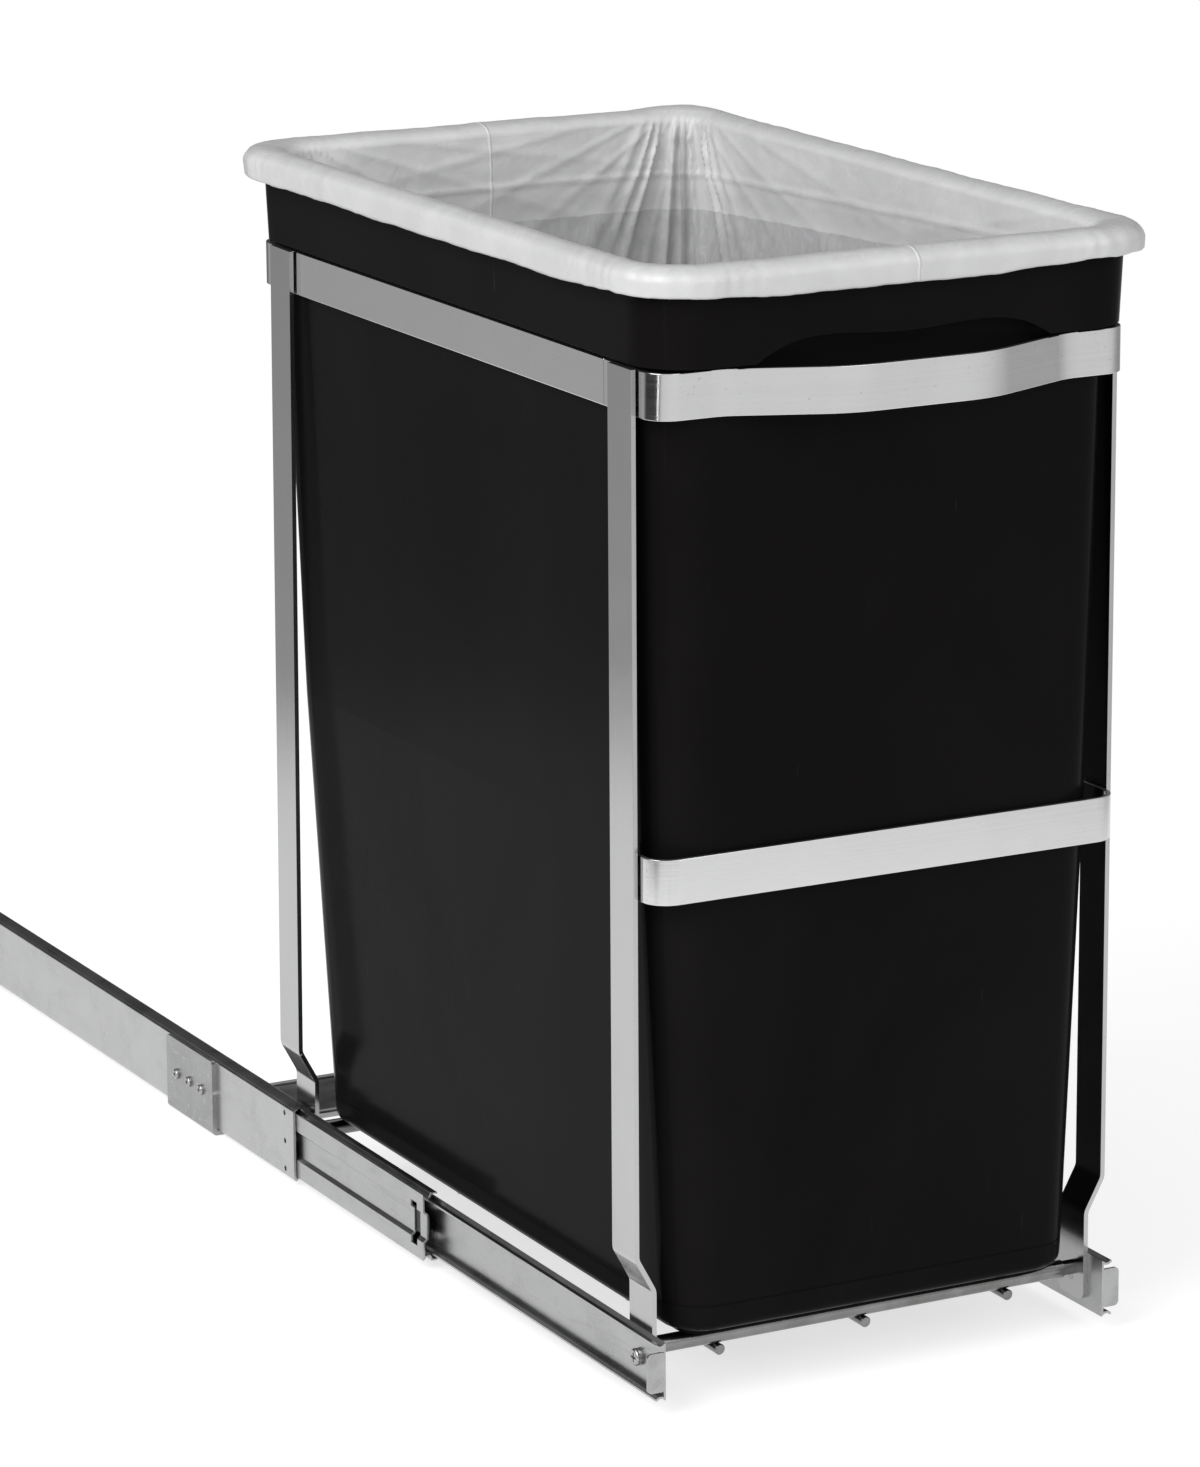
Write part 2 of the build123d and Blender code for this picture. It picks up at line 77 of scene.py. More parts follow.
def add_node(tree, kind, **inputs):
    """A shader node with its input values set; underscores stand for the spaces in their names."""
    node = tree.nodes.new("ShaderNode" + kind)
    for socket, value in inputs.items():
        node.inputs[socket.replace("_", " ")].default_value = value
    return node


def own_place(tree):
    """The point being shaded, in the piece's own metres."""
    return add_node(tree, "TexCoord").outputs["Object"]


def grain(tree, per_metre, detail=5.0, roughness=0.55, distortion=0.0):
    """Noise with per_metre lumps to the metre along X, Y and Z; a low number draws it out that way."""
    mapping = add_node(tree, "Mapping", Scale=per_metre)
    pattern = add_node(tree, "TexNoise", Scale=1.0, Detail=detail, Roughness=roughness,
                       Distortion=distortion)
    tree.links.new(own_place(tree), mapping.inputs["Vector"])
    tree.links.new(mapping.outputs["Vector"], pattern.inputs["Vector"])
    return pattern.outputs["Fac"]


def spread(tree, value, low, high, start=0.3, stop=0.7):
    """value from start to stop, carried over to low to high."""
    ranged = add_node(tree, "MapRange", From_Min=start, From_Max=stop, To_Min=low, To_Max=high)
    tree.links.new(value, ranged.inputs["Value"])
    return ranged.outputs["Result"]


def combine(tree, operation, *values):
    """A Math node on one, two or three values, each a number or a socket."""
    node = add_node(tree, "Math")
    node.operation = operation
    for socket, value in zip(node.inputs, values):
        if isinstance(value, (int, float)):
            socket.default_value = value
        else:
            tree.links.new(value, socket)
    return node.outputs[0]


def tones(tree, value, stops):
    """A colour from stops, a list of (value, (red, green, blue))."""
    ramp = add_node(tree, "ValToRGB")
    marks = ramp.color_ramp.elements
    marks.remove(marks[1])
    for number, (place, tone) in enumerate(stops):
        mark = marks[0] if number == 0 else marks.new(place)
        mark.position = place
        mark.color = (*tone, 1.0)
    tree.links.new(value, ramp.inputs["Fac"])
    return ramp.outputs["Color"]


def over(tree, mask, below, above):
    """The colour above laid over the colour below where mask is 1."""
    mix = tree.nodes.new("ShaderNodeMix")
    mix.data_type = "RGBA"
    tree.links.new(mask, mix.inputs[0])
    for socket, tone in ((mix.inputs[6], below), (mix.inputs[7], above)):
        if isinstance(tone, tuple):
            socket.default_value = (*tone, 1.0)
        else:
            tree.links.new(tone, socket)
    return mix.outputs[2]


def emboss(tree, shader, *layers):
    """Bump layers, each (height value, depth in metres), one on the other."""
    for value, depth in layers:
        bump = add_node(tree, "Bump", Strength=1.0, Distance=depth)
        tree.links.new(value, bump.inputs["Height"])
        lower = shader.inputs["Normal"]
        if lower.is_linked:
            tree.links.new(lower.links[0].from_socket, bump.inputs["Normal"])
        tree.links.new(bump.outputs["Normal"], lower)


def dress(finish, *names):
    """Give these CAD nodes this finish."""
    for name in names:
        for slot in nodes[name].material_slots:
            slot.material = finish


def ease_edges(width, *names, segments=2):
    """Take the sharpness off sheared and cut edges by width."""
    for name in names:
        weld = nodes[name].modifiers.new("joined_faces", "WELD")
        weld.merge_threshold = 0.00002
        bevel = nodes[name].modifiers.new("eased_edges", "BEVEL")
        bevel.width = width
        bevel.segments = segments
        bevel.limit_method = "ANGLE"
        bevel.angle_limit = math.radians(38)
        shading = nodes[name].modifiers.new("flat_faces", "WEIGHTED_NORMAL")
        shading.keep_sharp = True


def rail_zinc(name, tone, grease):
    """Zinc on rolled strip: mottle, rolling lines along Y and smears as strong as grease says."""
    finish, tree, shader = start_finish(name)
    mottle = grain(tree, (60, 45, 60), detail=6, distortion=0.6)
    spangle = grain(tree, (700, 520, 700), detail=3)
    rolling_lines = grain(tree, (1500, 9, 1500), detail=3)
    smears = spread(tree, grain(tree, (55, 10, 70), detail=7, distortion=1.2), 0, grease, 0.55, 0.75)
    zinc = tones(tree, combine(tree, "ADD", combine(tree, "MULTIPLY", mottle, 0.7),
                               combine(tree, "MULTIPLY", spangle, 0.3)),
                 [(0.3, tuple(0.86 * t for t in tone)), (0.5, tone),
                  (0.72, tuple(1.09 * t for t in tone))])
    tree.links.new(over(tree, smears, zinc, (0.16, 0.155, 0.145)), shader.inputs["Base Color"])
    patchy = combine(tree, "ADD", combine(tree, "MULTIPLY", mottle, 0.5),
                     combine(tree, "MULTIPLY", rolling_lines, 0.5))
    tree.links.new(spread(tree, patchy, 0.26, 0.33, 0.35, 0.65), shader.inputs["Roughness"])
    shader.inputs["Metallic"].default_value = 1.0
    emboss(tree, shader, (rolling_lines, 0.000005), (spangle, 0.000004))
    return finish


dress(rail_zinc("cabinet_rail_zinc", (0.44, 0.442, 0.445), 0.08),
      "left_cabinet_rail", "right_cabinet_rail")
dress(rail_zinc("moving_rail_zinc", (0.4, 0.402, 0.406), 0.35),
      "left_middle_rail", "right_middle_rail", "left_inner_rail", "right_inner_rail")
ease_edges(0.0002, *[f"{side}_{rail}_rail" for side in SIDES for rail in ("cabinet", "middle", "inner")])

# ------------------------------------------------------------------ ball cages and buffers
# Pressed steel retainer strips hold hardened balls between the rails, in a film of grey grease.  A
# buffer moulded in matt black plastic lies inside each middle rail and stops the inner one.


def greased_steel():
    """Bearing steel, mirror bright under patches of grease."""
    finish, tree, shader = start_finish("greased_bearing_steel")
    film = grain(tree, (260, 120, 260), detail=5, distortion=0.8)
    tree.links.new(tones(tree, film, [(0.4, (0.78, 0.78, 0.8)), (0.62, (0.36, 0.34, 0.3))]),
                   shader.inputs["Base Color"])
    tree.links.new(spread(tree, film, 0.06, 0.4), shader.inputs["Roughness"])
    shader.inputs["Metallic"].default_value = 1.0
    emboss(tree, shader, (film, 0.00005))
    return finish


def buffer_plastic():
    """Matt moulded plastic with a fine spark-eroded texture and pale rub marks."""
    finish, tree, shader = start_finish("moulded_buffer_black")
    texture = grain(tree, (2600, 2600, 2600), detail=2)
    rubs = grain(tree, (90, 25, 160), detail=6)
    tree.links.new(tones(tree, rubs, [(0.45, (0.018, 0.018, 0.019)), (0.7, (0.05, 0.05, 0.052))]),
                   shader.inputs["Base Color"])
    tree.links.new(spread(tree, rubs, 0.42, 0.6), shader.inputs["Roughness"])
    emboss(tree, shader, (texture, 0.00003))
    return finish


dress(greased_steel(), *[f"{side}_{row}_ball_cage" for side in SIDES for row in ("outer", "inner")])
dress(buffer_plastic(), "left_middle_stop", "right_middle_stop")
ease_edges(0.00025, "left_middle_stop", "right_middle_stop")

# ------------------------------------------------------------------ floor strap, feet and clip screws
# A cross strap, sheared from zinc-plated strip, hemmed along its edges and turned up at the ends as
# clips, and two small feet of the same strip welded under the rails' rear.  Three small pan-head
# screws hold each clip to the cabinet rail's web.


def strap_zinc():
    """Duller zinc than the rails', scuffed by handling, with rolling lines across the bin."""
    finish, tree, shader = start_finish("strap_zinc")
    mottle = grain(tree, (38, 38, 38), detail=7, distortion=0.5)
    rolling_lines = grain(tree, (9, 1300, 1300), detail=3)
    scratches = spread(tree, grain(tree, (28, 900, 420), detail=4, distortion=0.3), 0, 1, 0.63, 0.7)
    zinc = tones(tree, mottle, [(0.32, (0.27, 0.27, 0.274)), (0.55, (0.33, 0.332, 0.336)),
                                (0.7, (0.38, 0.382, 0.386))])
    tree.links.new(over(tree, scratches, zinc, (0.62, 0.62, 0.63)), shader.inputs["Base Color"])
    tree.links.new(spread(tree, mottle, 0.28, 0.42), shader.inputs["Roughness"])
    shader.inputs["Metallic"].default_value = 1.0
    emboss(tree, shader, (rolling_lines, 0.000006), (scratches, 0.00001))
    return finish


def screw_zinc():
    """Zinc on small screws, dulled in fine specks by grease and dust."""
    finish, tree, shader = start_finish("bright_screw_zinc")
    plating = grain(tree, (900, 900, 900), detail=4)
    tree.links.new(tones(tree, plating, [(0.35, (0.26, 0.26, 0.265)), (0.55, (0.42, 0.42, 0.425))]),
                   shader.inputs["Base Color"])
    tree.links.new(spread(tree, plating, 0.16, 0.38), shader.inputs["Roughness"])
    shader.inputs["Metallic"].default_value = 1.0
    emboss(tree, shader, (plating, 0.00002))
    return finish


screw_finish = screw_zinc()
floor_pieces = ("floor_strap", "left_rear_foot", "right_rear_foot")
dress(strap_zinc(), *floor_pieces)
ease_edges(0.0003, *floor_pieces)
dress(screw_finish, "clip_screws")

# ------------------------------------------------------------------ posts
# Four uprights of flat steel bar with the feet joggled inwards, satin polished lengthways and nickel
# plated.  The sheared top ends stay rough and dark.


def bar_nickel(name, along, tone):
    """Satin nickel with polishing lines that run the way along says, one low number of three."""
    finish, tree, shader = start_finish(name)
    lines = grain(tree, along, detail=4, roughness=0.6)
    haze = grain(tree, (14, 14, 14), detail=6, distortion=0.8)
    pits = spread(tree, grain(tree, (650, 650, 650), detail=2), 0, 1, 0.68, 0.76)
    facing = tree.nodes.new("ShaderNodeNewGeometry").outputs["True Normal"]
    upward = add_node(tree, "SeparateXYZ")
    tree.links.new(facing, upward.inputs["Vector"])
    sheared = spread(tree, combine(tree, "ABSOLUTE", upward.outputs["Z"]), 0, 0.75, 0.9, 0.97)
    nickel = tones(tree, combine(tree, "ADD", combine(tree, "MULTIPLY", lines, 0.3),
                                 combine(tree, "MULTIPLY", haze, 0.7)),
                   [(0.32, tuple(0.94 * t for t in tone)), (0.52, tone),
                    (0.7, tuple(min(1.0, 1.04 * t) for t in tone))])
    pitted = over(tree, pits, nickel, tuple(0.75 * t for t in tone))
    tree.links.new(over(tree, sheared, pitted, (0.2, 0.2, 0.205)), shader.inputs["Base Color"])
    gloss = combine(tree, "ADD", spread(tree, haze, 0.0, 0.07), spread(tree, lines, 0.1, 0.17))
    tree.links.new(combine(tree, "ADD", gloss, combine(tree, "MULTIPLY", sheared, 0.3)),
                   shader.inputs["Roughness"])
    shader.inputs["Metallic"].default_value = 1.0
    emboss(tree, shader, (lines, 0.0000018), (pits, 0.00001))
    return finish


posts = ("front_left_post", "front_right_post", "rear_left_post", "rear_right_post")
# The posts get the bands' nickel in a darker tone: painted shade for the darker surroundings the posts
# mirror.
dress(bar_nickel("post_nickel_painted_shade", (900, 900, 6), (0.45, 0.45, 0.455)), *posts)
ease_edges(0.0004, *posts)

# ------------------------------------------------------------------ bands
# Flat bar on edge, bent round the posts: the top ring with the bowed handle band in front, and the
# guard band across the middle.  They are spot welded to the posts over small pads.

bands = ("handle_band", "rear_top_band", "left_top_band", "right_top_band", "guard_band")
dress(bar_nickel("band_nickel", (7, 7, 1100), (0.63, 0.63, 0.635)), *bands)
ease_edges(0.0004, *bands)


def weld_steel():
    """Blued steel of a spot weld, patchy from the heat."""
    finish, tree, shader = start_finish("spot_weld_steel")
    heat = grain(tree, (300, 300, 300), detail=5, distortion=1.0)
    tree.links.new(tones(tree, heat, [(0.35, (0.12, 0.11, 0.13)), (0.55, (0.3, 0.27, 0.24)),
                                      (0.7, (0.45, 0.44, 0.43))]), shader.inputs["Base Color"])
    tree.links.new(spread(tree, heat, 0.35, 0.6), shader.inputs["Roughness"])
    shader.inputs["Metallic"].default_value = 1.0
    emboss(tree, shader, (heat, 0.00008))
    return finish


dress(weld_steel(), "weld_pads")

# ------------------------------------------------------------------ base tubes and wires
# Two drawn tubes join the feet, three drawn rods run under them from front to rear and two thinner
# ones lie across.  All are resistance welded where they touch and plated after welding.


def drawn_steel(name, along):
    """Plated drawn rod: fine die lines along its length and cloudy plating, kept dark grey as painted
    shade for the dark the rods mirror.
    """
    finish, tree, shader = start_finish(name)
    die_lines = grain(tree, along, detail=3)
    cloud = grain(tree, (40, 40, 40), detail=6, distortion=0.7)
    tree.links.new(tones(tree, cloud, [(0.34, (0.17, 0.169, 0.167)), (0.52, (0.22, 0.22, 0.22)),
                                       (0.68, (0.26, 0.26, 0.264))]), shader.inputs["Base Color"])
    tree.links.new(spread(tree, cloud, 0.14, 0.26), shader.inputs["Roughness"])
    shader.inputs["Metallic"].default_value = 1.0
    emboss(tree, shader, (die_lines, 0.000004), (cloud, 0.00001))
    return finish


dress(drawn_steel("cross_rod_steel_painted_dark", (8, 1600, 1600)),
      "front_cross_tube", "rear_cross_tube", "tube_plugs", "front_cross_wire", "rear_cross_wire")
dress(drawn_steel("long_rod_steel_painted_dark", (1600, 8, 1600)),
      "left_base_wire", "centre_base_wire", "right_base_wire")
ease_edges(0.0003, "tube_plugs")

# ------------------------------------------------------------------ post screws and washers
# One pan-head machine screw with a cross recess holds each post foot to its inner rail, over a thick
# flat washer.  Both are bright zinc.

dress(screw_finish, "post_screws", "post_washers")
ease_edges(0.00015, "post_screws", "post_washers", "clip_screws")

# ------------------------------------------------------------------ bucket
# The bucket is injection moulded in black polypropylene, glossy outside, with a deep skirt and a
# rolled lip.  Handling has left hairline scuffs, and the skin shows a faint orange peel.


def bucket_black():
    """Gloss black plastic: flow clouds in the gloss, orange peel, hairline scuffs and a little dust."""
    finish, tree, shader = start_finish("gloss_black_polypropylene")
    clouds = grain(tree, (9, 9, 6), detail=5, distortion=0.5)
    peel = grain(tree, (420, 420, 420), detail=2)
    hairlines = spread(tree, grain(tree, (520, 520, 22), detail=3, distortion=0.25), 0, 1, 0.69, 0.76)
    scuff_patches = spread(tree, grain(tree, (22, 22, 16), detail=4), 0, 1, 0.58, 0.72)
    scuffs = combine(tree, "MULTIPLY", hairlines, scuff_patches)
    black = tones(tree, clouds, [(0.35, (0.0056, 0.005, 0.0052)), (0.65, (0.0074, 0.0067, 0.0069))])
    tree.links.new(over(tree, scuffs, black, (0.035, 0.035, 0.036)), shader.inputs["Base Color"])
    tree.links.new(combine(tree, "ADD", spread(tree, clouds, 0.13, 0.19),
                           combine(tree, "MULTIPLY", scuffs, 0.25)), shader.inputs["Roughness"])
    shader.inputs["Specular IOR Level"].default_value = 0.014
    emboss(tree, shader, (peel, 0.00001), (clouds, 0.0004))
    return finish


dress(bucket_black(), "bucket")
ease_edges(0.0007, "bucket", segments=3)

# ------------------------------------------------------------------ liner
# A bag of thin white polyethylene film, its mouth folded over the lip as a soft cuff.  It hangs free
# of the wall for a hand's breadth, gathers into pleats at the corners, and clings to the wall below.

front_of_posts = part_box("front_left_post")[0].y
# Inside of the bucket's wall: height, half width, front and rear (from the front of the posts), corner
WALL = ((0.034, 0.0986, -0.0046, 0.3571, 0.0176),
        (0.246, 0.1076, -0.0072, 0.3656, 0.0206),
        (0.503, 0.1128, -0.0110, 0.3756, 0.0226))
CUFF = (0.1254, -0.0289, 0.3921, 0.0337)     # the cuff's outer face: half width, front, rear, corner
cuff_hem = 0.4920
cuff_top = 0.5063
bag_floor = 0.0362
film_thickness = 0.0003
FRONT_STEPS, SIDE_STEPS, CORNER_STEPS = 84, 120, 28
CROWDING = 0.115                             # how far the points are drawn towards the corners
CUFF_ROWS = 20                               # rings from the cuff's hem to the mouth
ROUNDING_ROWS = 8                            # of which these round the cuff over the lip
LIP_ROUNDING, LIP_WIDTH = 0.0062, 0.0126     # radius over the lip, and from cuff to mouth
CLING_HEIGHT, CLING_SLOPE = 0.4590, 0.048    # at the rear wall, and its rise towards the front
CREASE_HEIGHT, CREASE_SLOPE = 0.4765, 0.038  # likewise for the crease above it
CREASE_DEPTH, CREASE_WIDTH = 0.0007, 0.0011
SEAM_X = 0.0017                              # the welded seam runs down here, front and rear


def film_ring(half, front, rear, corner):
    """Points round a rounded rectangle, anticlockwise from the front left, always as many."""
    arcs = ((half - corner, front + corner, -90), (half - corner, rear - corner, 0),
            (-half + corner, rear - corner, 90), (-half + corner, front + corner, 180))
    points = []
    for (x, y, start), straight in zip(arcs, (FRONT_STEPS, SIDE_STEPS) * 2):
        side_end = (x + corner * math.cos(math.radians(start)),
                    y + corner * math.sin(math.radians(start)))
        side_start = {-90: (-half + corner, front), 0: (half, front + corner),
                      90: (half - corner, rear), 180: (-half, rear - corner)}[start]
        for step in range(straight):
            share = step / straight - CROWDING * math.sin(2 * math.pi * step / straight)
            points.append((side_start[0] + (side_end[0] - side_start[0]) * share,
                           side_start[1] + (side_end[1] - side_start[1]) * share))
        for step in range(CORNER_STEPS):
            turn = math.radians(start + 90 * step / CORNER_STEPS)
            points.append((x + corner * math.cos(turn), y + corner * math.sin(turn)))
    ring = np.array(points)
    ring[:, 1] += front_of_posts
    return ring


def wall_ring(z):
    """The inside of the bucket's wall at height z."""
    heights = [station[0] for station in WALL]
    return film_ring(*[np.interp(z, heights, [station[k] for station in WALL]) for k in range(1, 5)])


def smooth_step(value, low, high):
    """0 below low, 1 above high, with an eased rise between."""
    share = np.clip((value - low) / (high - low), 0, 1)
    return share * share * (3 - 2 * share)


mouth = wall_ring(WALL[-1][0])
inward = np.roll(mouth, -1, axis=0) - np.roll(mouth, 1, axis=0)
inward = np.stack([-inward[:, 1], inward[:, 0]], axis=1) / np.linalg.norm(inward, axis=1)[:, None]
arc_length = np.concatenate([[0], np.cumsum(np.linalg.norm(np.diff(mouth, axis=0), axis=1))])
girth = arc_length[-1] + np.linalg.norm(mouth[0] - mouth[-1])
corner_places = {}
for number, name in enumerate(("front_right", "rear_right", "rear_left", "front_left")):
    steps = (FRONT_STEPS, SIDE_STEPS, FRONT_STEPS, SIDE_STEPS)[:number + 1]
    middle = sum(steps) + CORNER_STEPS * number + CORNER_STEPS // 2
    corner_places[name] = arc_length[middle]


def from_corner(name):
    """Distance round the mouth from the middle of a corner, negative before it."""
    return (arc_length - corner_places[name] + girth / 2) % girth - girth / 2


def near_corner(name, width):
    """1 at the middle of a corner, falling away to nothing over about twice this width."""
    return np.exp(-(from_corner(name) / width) ** 2)


def crinkle(points, scale, seed):
    """Fractal noise at each point, about -1 to 1."""
    shift = Vector((seed * 3.1, seed * 1.7, seed * 2.3))
    return np.array([noise.fractal(Vector(p) * scale + shift, 0.9, 2.1, 4) for p in points])


def gathers(depth):
    """How far the film stands in from the wall in pleats, at a depth below the cuff."""
    fan = 0.0054 + 0.14 * depth
    reach = 0.019 + 0.44 * depth
    fade = smooth_step(depth, 0.0, 0.012) * (1 - 0.75 * smooth_step(depth, 0.05, 0.16))
    folds = np.zeros(len(mouth))
    for name, height, lean in (("rear_right", 0.0046, 0.0), ("front_right", 0.0022, 0.9),
                               ("front_left", 0.0024, 2.1), ("rear_left", 0.0014, 4.0)):
        away = from_corner(name)
        turns = away / fan
        wave = 1 - np.abs(np.sin(math.pi * turns + lean + 0.9 * np.sin(2.3 * turns + lean)))
        folds += height * fade * np.exp(-(away / reach) ** 2) * wave ** 1.8
    return folds


def stretch_creases(depth):
    """Sharp fine creases fanning out of each corner, where the film is pulled tight."""
    folds = np.zeros(len(mouth))
    for name, count, strength in (("rear_left", 30, 0.0012), ("rear_right", 26, 0.0012),
                                  ("front_right", 20, 0.0008), ("front_left", 22, 0.0008)):
        away = from_corner(name)
        distance = np.hypot(away, depth + 0.006)
        angle = np.arctan2(depth + 0.006, np.abs(away) + 1e-6)
        ridge = 1 - np.abs(np.sin(count * angle / 2 + 1.7 * np.sin(3 * angle)))
        folds += strength * ridge ** 4 * np.exp(-distance / 0.13) * smooth_step(depth, 0, 0.008)
    return folds


def hanging_row(z, depth):
    """One ring of the bag's wall at height z."""
    y = mouth[:, 1] - front_of_posts
    cling = CLING_HEIGHT + CLING_SLOPE * (WALL[-1][3] - y)
    ring = wall_ring(z)
    points = [(x, yy, z) for x, yy in ring]
    free = smooth_step(z, cling - 0.004, cling + 0.012)
    belly = free * 0.0014 * np.sin(np.clip((cuff_top - z) / (cuff_top - cling), 0, 1) * math.pi)
    drape = 0.0008 * (1 + crinkle([(a * 0.6, b * 0.6, c * 0.25) for a, b, c in points], 24, 1))
    slack = 0.0004 * (1 + crinkle(points, 55, 2)) * (0.4 + 0.6 * free)
    stand_off = 0.0009 + belly + np.clip(drape, 0, None) + np.clip(slack, 0, None)
    stand_off = stand_off + gathers(depth) + stretch_creases(depth)
    return np.column_stack([ring + inward * stand_off[:, None], np.full(len(ring), z)])


def liner_rows():
    """Every ring of the bag, from the cuff's hem over the lip and down to the floor of the bag."""
    outer = film_ring(*CUFF)
    waviness = crinkle([(x, y, 0) for x, y in outer], 22, 3)
    ripples = crinkle([(x, y, 0) for x, y in outer], 120, 4)
    corner_pull = sum(near_corner(name, 0.03) for name in corner_places)
    ridges = corner_pull * 0.0003 * np.cos(2 * math.pi * arc_length / 0.0065)
    loose = 0.0032 * (near_corner("rear_left", 0.034) + near_corner("front_right", 0.03))
    rows = []

    def cuff_row(share, z, puff):
        """A ring between the cuff's outer face (share 0) and the mouth (share 1), puffed out."""
        ring = outer + (mouth - outer) * share
        swell = puff * (0.0009 + 0.0006 * waviness + 0.00025 * ripples + ridges)
        swell = swell + min(1.0, 2.4 * puff) * loose
        return np.column_stack([ring - inward * swell[:, None], z])

    hem = cuff_hem + 0.0011 * waviness + 0.0003 * ripples
    hem = hem + 0.0034 * near_corner("front_right", 0.05) + 0.0018 * near_corner("front_left", 0.04)
    top = cuff_top + 0.0004 * waviness + 0.0002 * ripples + 0.0019 * near_corner("rear_right", 0.013)
    rows.append(cuff_row(0.06, hem + 0.0004, 0.0))
    rows.append(cuff_row(0.015, hem, 0.4))
    for share in (0.12, 0.3, 0.5, 0.75, 1.0):
        rows.append(cuff_row(0.0, hem + (top - LIP_ROUNDING - hem) * share, 0.5 + 0.5 * share))
    for step in range(1, ROUNDING_ROWS + 1):
        turn = math.radians(90 * step / ROUNDING_ROWS)
        rows.append(cuff_row((1 - math.cos(turn)) * LIP_ROUNDING / LIP_WIDTH,
                             top - LIP_ROUNDING * (1 - math.sin(turn)), 1 - 0.8 * step / ROUNDING_ROWS))
    for share, drop in ((0.62, 0.0002), (0.78, 0.0006), (0.9, 0.0011), (1.0, 0.0018), (1.07, 0.0029)):
        rows.append(cuff_row(share, top - drop, 0.0))
    heights = np.concatenate([np.linspace(0.5022, 0.452, 36), np.linspace(0.448, 0.36, 18),
                              np.linspace(0.345, 0.05, 18)])
    for z in heights:
        rows.append(hanging_row(z, cuff_top - z))
    return rows


def crease_step(points):
    """The film's lap: below a line round the bag it is one layer, so it steps back a little."""
    y = points[:, 1] - front_of_posts
    line = CREASE_HEIGHT + CREASE_SLOPE * np.clip(WALL[-1][3] - y, 0, None)
    line = line + 0.0006 * crinkle([(a, b, 0) for a, b in points[:, :2]], 30, 6)
    near = np.exp(-((points[:, 2] - line) / CREASE_WIDTH) ** 2)
    return CREASE_DEPTH * near * (points[:, 2] < cuff_hem)


def liner_mesh():
    """The bag as one sheet of quads: the rings above, then the floor of the bag drawn in."""
    rows = liner_rows()
    for row in rows[CUFF_ROWS:]:
        row[:, :2] += inward * crease_step(row)[:, None]
    last = rows[-1]
    centre = last[:, :2].mean(axis=0)
    for share, z in ((0.985, 0.043), (0.955, 0.0388), (0.91, 0.0372), (0.82, 0.0367), (0.68, 0.0364),
                     (0.5, 0.0363), (0.3, 0.0362), (0.12, 0.0362)):
        flat = centre + (last[:, :2] - centre) * share
        puddle = 0.0022 * np.abs(crinkle([(x, y, 0) for x, y in flat], 30, 5)) * (share < 0.96)
        rows.append(np.column_stack([flat, z + puddle]))
    count = len(mouth)
    points = np.concatenate(rows)
    faces = [(r * count + c, r * count + (c + 1) % count, (r + 1) * count + (c + 1) % count,
              (r + 1) * count + c) for r in range(len(rows) - 1) for c in range(count)]
    middle = len(points)
    points = np.vstack([points, [*centre, bag_floor]])
    start = (len(rows) - 1) * count
    faces += [(start + c, start + (c + 1) % count, middle) for c in range(count)]
    mesh = bpy.data.meshes.new("bin_liner")
    mesh.from_pydata([tuple(p) for p in points], [], faces)
    mesh.polygons.foreach_set("use_smooth", [True] * len(mesh.polygons))
    mesh.update()
    return mesh


def liner_film():
    """Milky film: whiter where it hangs free, greyer where it lies on the black wall or lip."""
    finish, tree, shader = start_finish("white_polyethylene_film")
    place = add_node(tree, "SeparateXYZ")
    tree.links.new(own_place(tree), place.inputs["Vector"])
    rear_wall = front_of_posts + WALL[-1][3]
    climb = combine(tree, "MULTIPLY_ADD", place.outputs["Y"], CLING_SLOPE, place.outputs["Z"])
    edge = CLING_HEIGHT + CLING_SLOPE * rear_wall
    ragged = combine(tree, "MULTIPLY_ADD", grain(tree, (90, 90, 90), detail=6), 0.0026, climb)
    free = spread(tree, ragged, 0, 1, edge + 0.0010, edge + 0.0017)
    cloud = grain(tree, (30, 30, 30), detail=6, distortion=0.6)
    fine = grain(tree, (210, 210, 130), detail=5, distortion=0.9)
    milky = tones(tree, cloud, [(0.3, (0.5, 0.501, 0.503)), (0.55, (0.54, 0.541, 0.543)),
                                (0.75, (0.58, 0.581, 0.583))])
    clinging = tones(tree, fine, [(0.3, (0.36, 0.361, 0.366)), (0.6, (0.42, 0.421, 0.427)),
                                  (0.75, (0.48, 0.481, 0.487))])
    on_lip = combine(tree, "MULTIPLY", spread(tree, fine, 0.4, 0.75),
                     spread(tree, place.outputs["Z"], 0, 1, cuff_top - 0.0036, cuff_top - 0.0012))
    film = over(tree, on_lip, over(tree, free, clinging, milky), (0.37, 0.371, 0.375))
    seam = combine(tree, "ABSOLUTE", combine(tree, "SUBTRACT", place.outputs["X"], SEAM_X))
    weld = spread(tree, seam, 1, 0, 0.0003, 0.0009)
    tree.links.new(over(tree, combine(tree, "MULTIPLY", weld, 0.3), film, (0.85, 0.85, 0.85)),
                   shader.inputs["Base Color"])
    tree.links.new(spread(tree, fine, 0.28, 0.46), shader.inputs["Roughness"])
    shader.inputs["Specular IOR Level"].default_value = 0.5
    emboss(tree, shader, (fine, 0.00025), (cloud, 0.0008), (weld, 0.0003))
    return finish


liner = bpy.data.objects.new("film_liner", liner_mesh())
bpy.context.scene.collection.objects.link(liner)
liner.data.materials.append(liner_film())
solid_film = liner.modifiers.new("film_thickness", "SOLIDIFY")
solid_film.thickness = film_thickness
solid_film.offset = 0
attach(liner, "liner")
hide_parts("liner")

# ------------------------------------------------------------------ floor, lights and camera
# The bin stands on a round back-lit white floor that fades out into a white background.  A softbox
# high on the left is the main light; behind the bin its steel mirrors the dark of the studio.

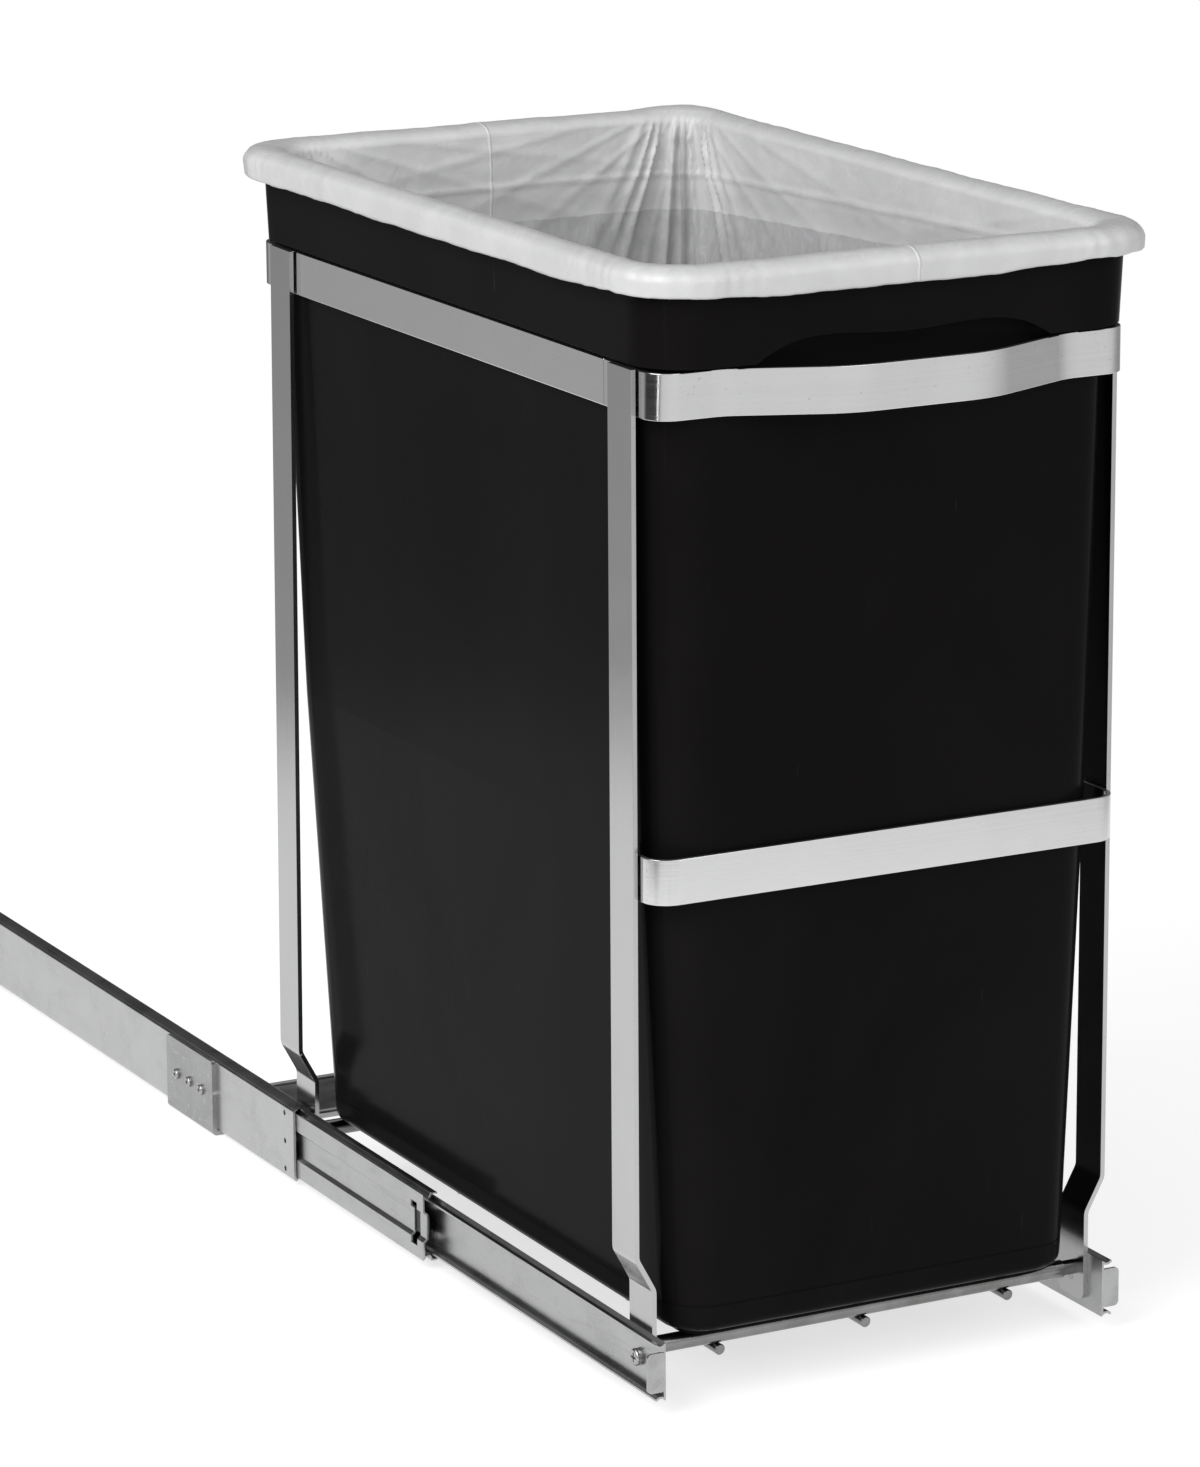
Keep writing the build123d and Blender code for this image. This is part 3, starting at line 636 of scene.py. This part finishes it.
bin_middle = Vector(((cad_low.x + cad_high.x) / 2, front_of_posts + 0.18, (cad_low.z + cad_high.z) / 2))
floor_radius = 1.25
floor_fade_from = 0.95
FLOOR_SIDES = 96
rim = [(bin_middle.x + floor_radius * math.cos(2 * math.pi * step / FLOOR_SIDES),
        bin_middle.y + floor_radius * math.sin(2 * math.pi * step / FLOOR_SIDES),
        cad_low.z - 0.0002) for step in range(FLOOR_SIDES)]
floor_mesh = bpy.data.meshes.new("studio_floor")
floor_mesh.from_pydata(rim, [], [tuple(range(FLOOR_SIDES))])
floor = bpy.data.objects.new("studio_floor", floor_mesh)
bpy.context.scene.collection.objects.link(floor)


def floor_paint():
    """Back-lit matt white floor with the faintest unevenness, thinning out to nothing at its rim."""
    finish, tree, shader = start_finish("studio_floor_white")
    patches = grain(tree, (0.8, 0.8, 0.8), detail=3)
    tree.links.new(tones(tree, patches, [(0.3, (0.38, 0.38, 0.38)), (0.7, (0.41, 0.41, 0.41))]),
                   shader.inputs["Base Color"])
    shader.inputs["Emission Color"].default_value = (1.0, 1.0, 1.0, 1.0)
    shader.inputs["Emission Strength"].default_value = 0.7
    shader.inputs["Roughness"].default_value = 0.85
    shader.inputs["Specular IOR Level"].default_value = 0.1
    away = add_node(tree, "VectorMath")
    away.operation = "DISTANCE"
    away.inputs[1].default_value = (bin_middle.x, bin_middle.y, cad_low.z - 0.0002)
    tree.links.new(own_place(tree), away.inputs[0])
    tree.links.new(spread(tree, away.outputs["Value"], 1, 0, floor_fade_from, floor_radius * 0.99),
                   shader.inputs["Alpha"])
    return finish


floor.data.materials.append(floor_paint())


def studio_surround():
    """White behind the bin; what lights and mirrors in it is bright in front and above, dark behind."""
    world = bpy.data.worlds.new("studio_surround")
    world.use_nodes = True
    tree = world.node_tree
    seen = tree.nodes["Background"]
    seen.inputs["Color"].default_value = (1.0, 1.0, 1.0, 1.0)
    seen.inputs["Strength"].default_value = 1.0
    direction = add_node(tree, "SeparateXYZ")
    tree.links.new(add_node(tree, "TexCoord").outputs["Generated"], direction.inputs["Vector"])
    front_to_rear = ((0.0, 0.92), (0.2, 0.8), (0.4, 0.5), (0.62, 0.34), (0.86, 0.45), (0.94, 0.52),
                     (1.0, 0.1))
    walls = tones(tree, spread(tree, direction.outputs["Y"], 0, 1, -1, 1),
                  [(place, (grey, grey, grey)) for place, grey in front_to_rear])
    overhead = spread(tree, direction.outputs["Z"], 0, 1, 0.42, 0.7)
    lit = over(tree, overhead, walls, (0.68, 0.68, 0.68))
    flag = combine(tree, "MULTIPLY", spread(tree, direction.outputs["X"], 1, 0, -0.86, -0.74),
                   spread(tree, direction.outputs["Z"], 1, 0, 0.1, 0.3))
    flagged = over(tree, flag, lit, (0.04, 0.04, 0.04))
    behind = combine(tree, "MULTIPLY", spread(tree, direction.outputs["Y"], 0, 1, 0.3, 0.7),
                     spread(tree, direction.outputs["Z"], 0, 1, 0.0, 0.1))
    behind = combine(tree, "MULTIPLY", behind, spread(tree, direction.outputs["Z"], 1, 0, 0.5, 0.7))
    lighting = add_node(tree, "Background", Strength=1.0)
    tree.links.new(over(tree, behind, flagged, (0.02, 0.02, 0.02)), lighting.inputs["Color"])
    either = tree.nodes.new("ShaderNodeMixShader")
    tree.links.new(add_node(tree, "LightPath").outputs["Is Camera Ray"], either.inputs[0])
    tree.links.new(lighting.outputs[0], either.inputs[1])
    tree.links.new(seen.outputs[0], either.inputs[2])
    tree.links.new(either.outputs[0], tree.nodes["World Output"].inputs["Surface"])
    return world


bpy.context.scene.world = studio_surround()


def softbox(name, place, width, height, power):
    """An area light at place (from the bin's middle), facing the bin."""
    lamp = bpy.data.lights.new(name, "AREA")
    lamp.shape = "RECTANGLE"
    lamp.size = width
    lamp.size_y = height
    lamp.energy = power
    holder = bpy.data.objects.new(name, lamp)
    bpy.context.scene.collection.objects.link(holder)
    holder.location = bin_middle + Vector(place)
    holder.rotation_euler = (-Vector(place)).to_track_quat("-Z", "Y").to_euler()


softbox("high_left_softbox", (-1.8, -0.5, 1.35), 1.7, 1.7, 46)
softbox("front_softbox", (0.5, -2.4, 1.4), 1.3, 1.0, 8)
softbox("overhead_softbox", (0.1, 0.2, 2.6), 2.0, 2.0, 4)
softbox("corner_strip", (-2.1, -1.2, 0.3), 0.1, 1.5, 2)

camera_azimuth = math.radians(-27.617)
camera_elevation = math.radians(14.256)
camera_roll = math.radians(-0.35)
camera_distance = 2.764
aim = Vector((-0.0253, front_of_posts + 0.2106, 0.2463))
back = Vector((math.sin(camera_azimuth) * math.cos(camera_elevation),
               -math.cos(camera_azimuth) * math.cos(camera_elevation), math.sin(camera_elevation)))
level_right = Vector((0, 0, 1)).cross(back).normalized()
level_up = back.cross(level_right)
right = math.cos(camera_roll) * level_right + math.sin(camera_roll) * level_up
up = math.cos(camera_roll) * level_up - math.sin(camera_roll) * level_right
lens = bpy.data.cameras.new("studio_camera")
lens.lens = 146.46
lens.clip_end = 100
camera = bpy.data.objects.new("studio_camera", lens)
bpy.context.scene.collection.objects.link(camera)
camera.matrix_world = Matrix.Translation(aim + back * camera_distance) @ Matrix(
    (right, up, back)).transposed().to_4x4()
bpy.context.scene.camera = camera
bpy.context.scene.view_settings.view_transform = "Standard"
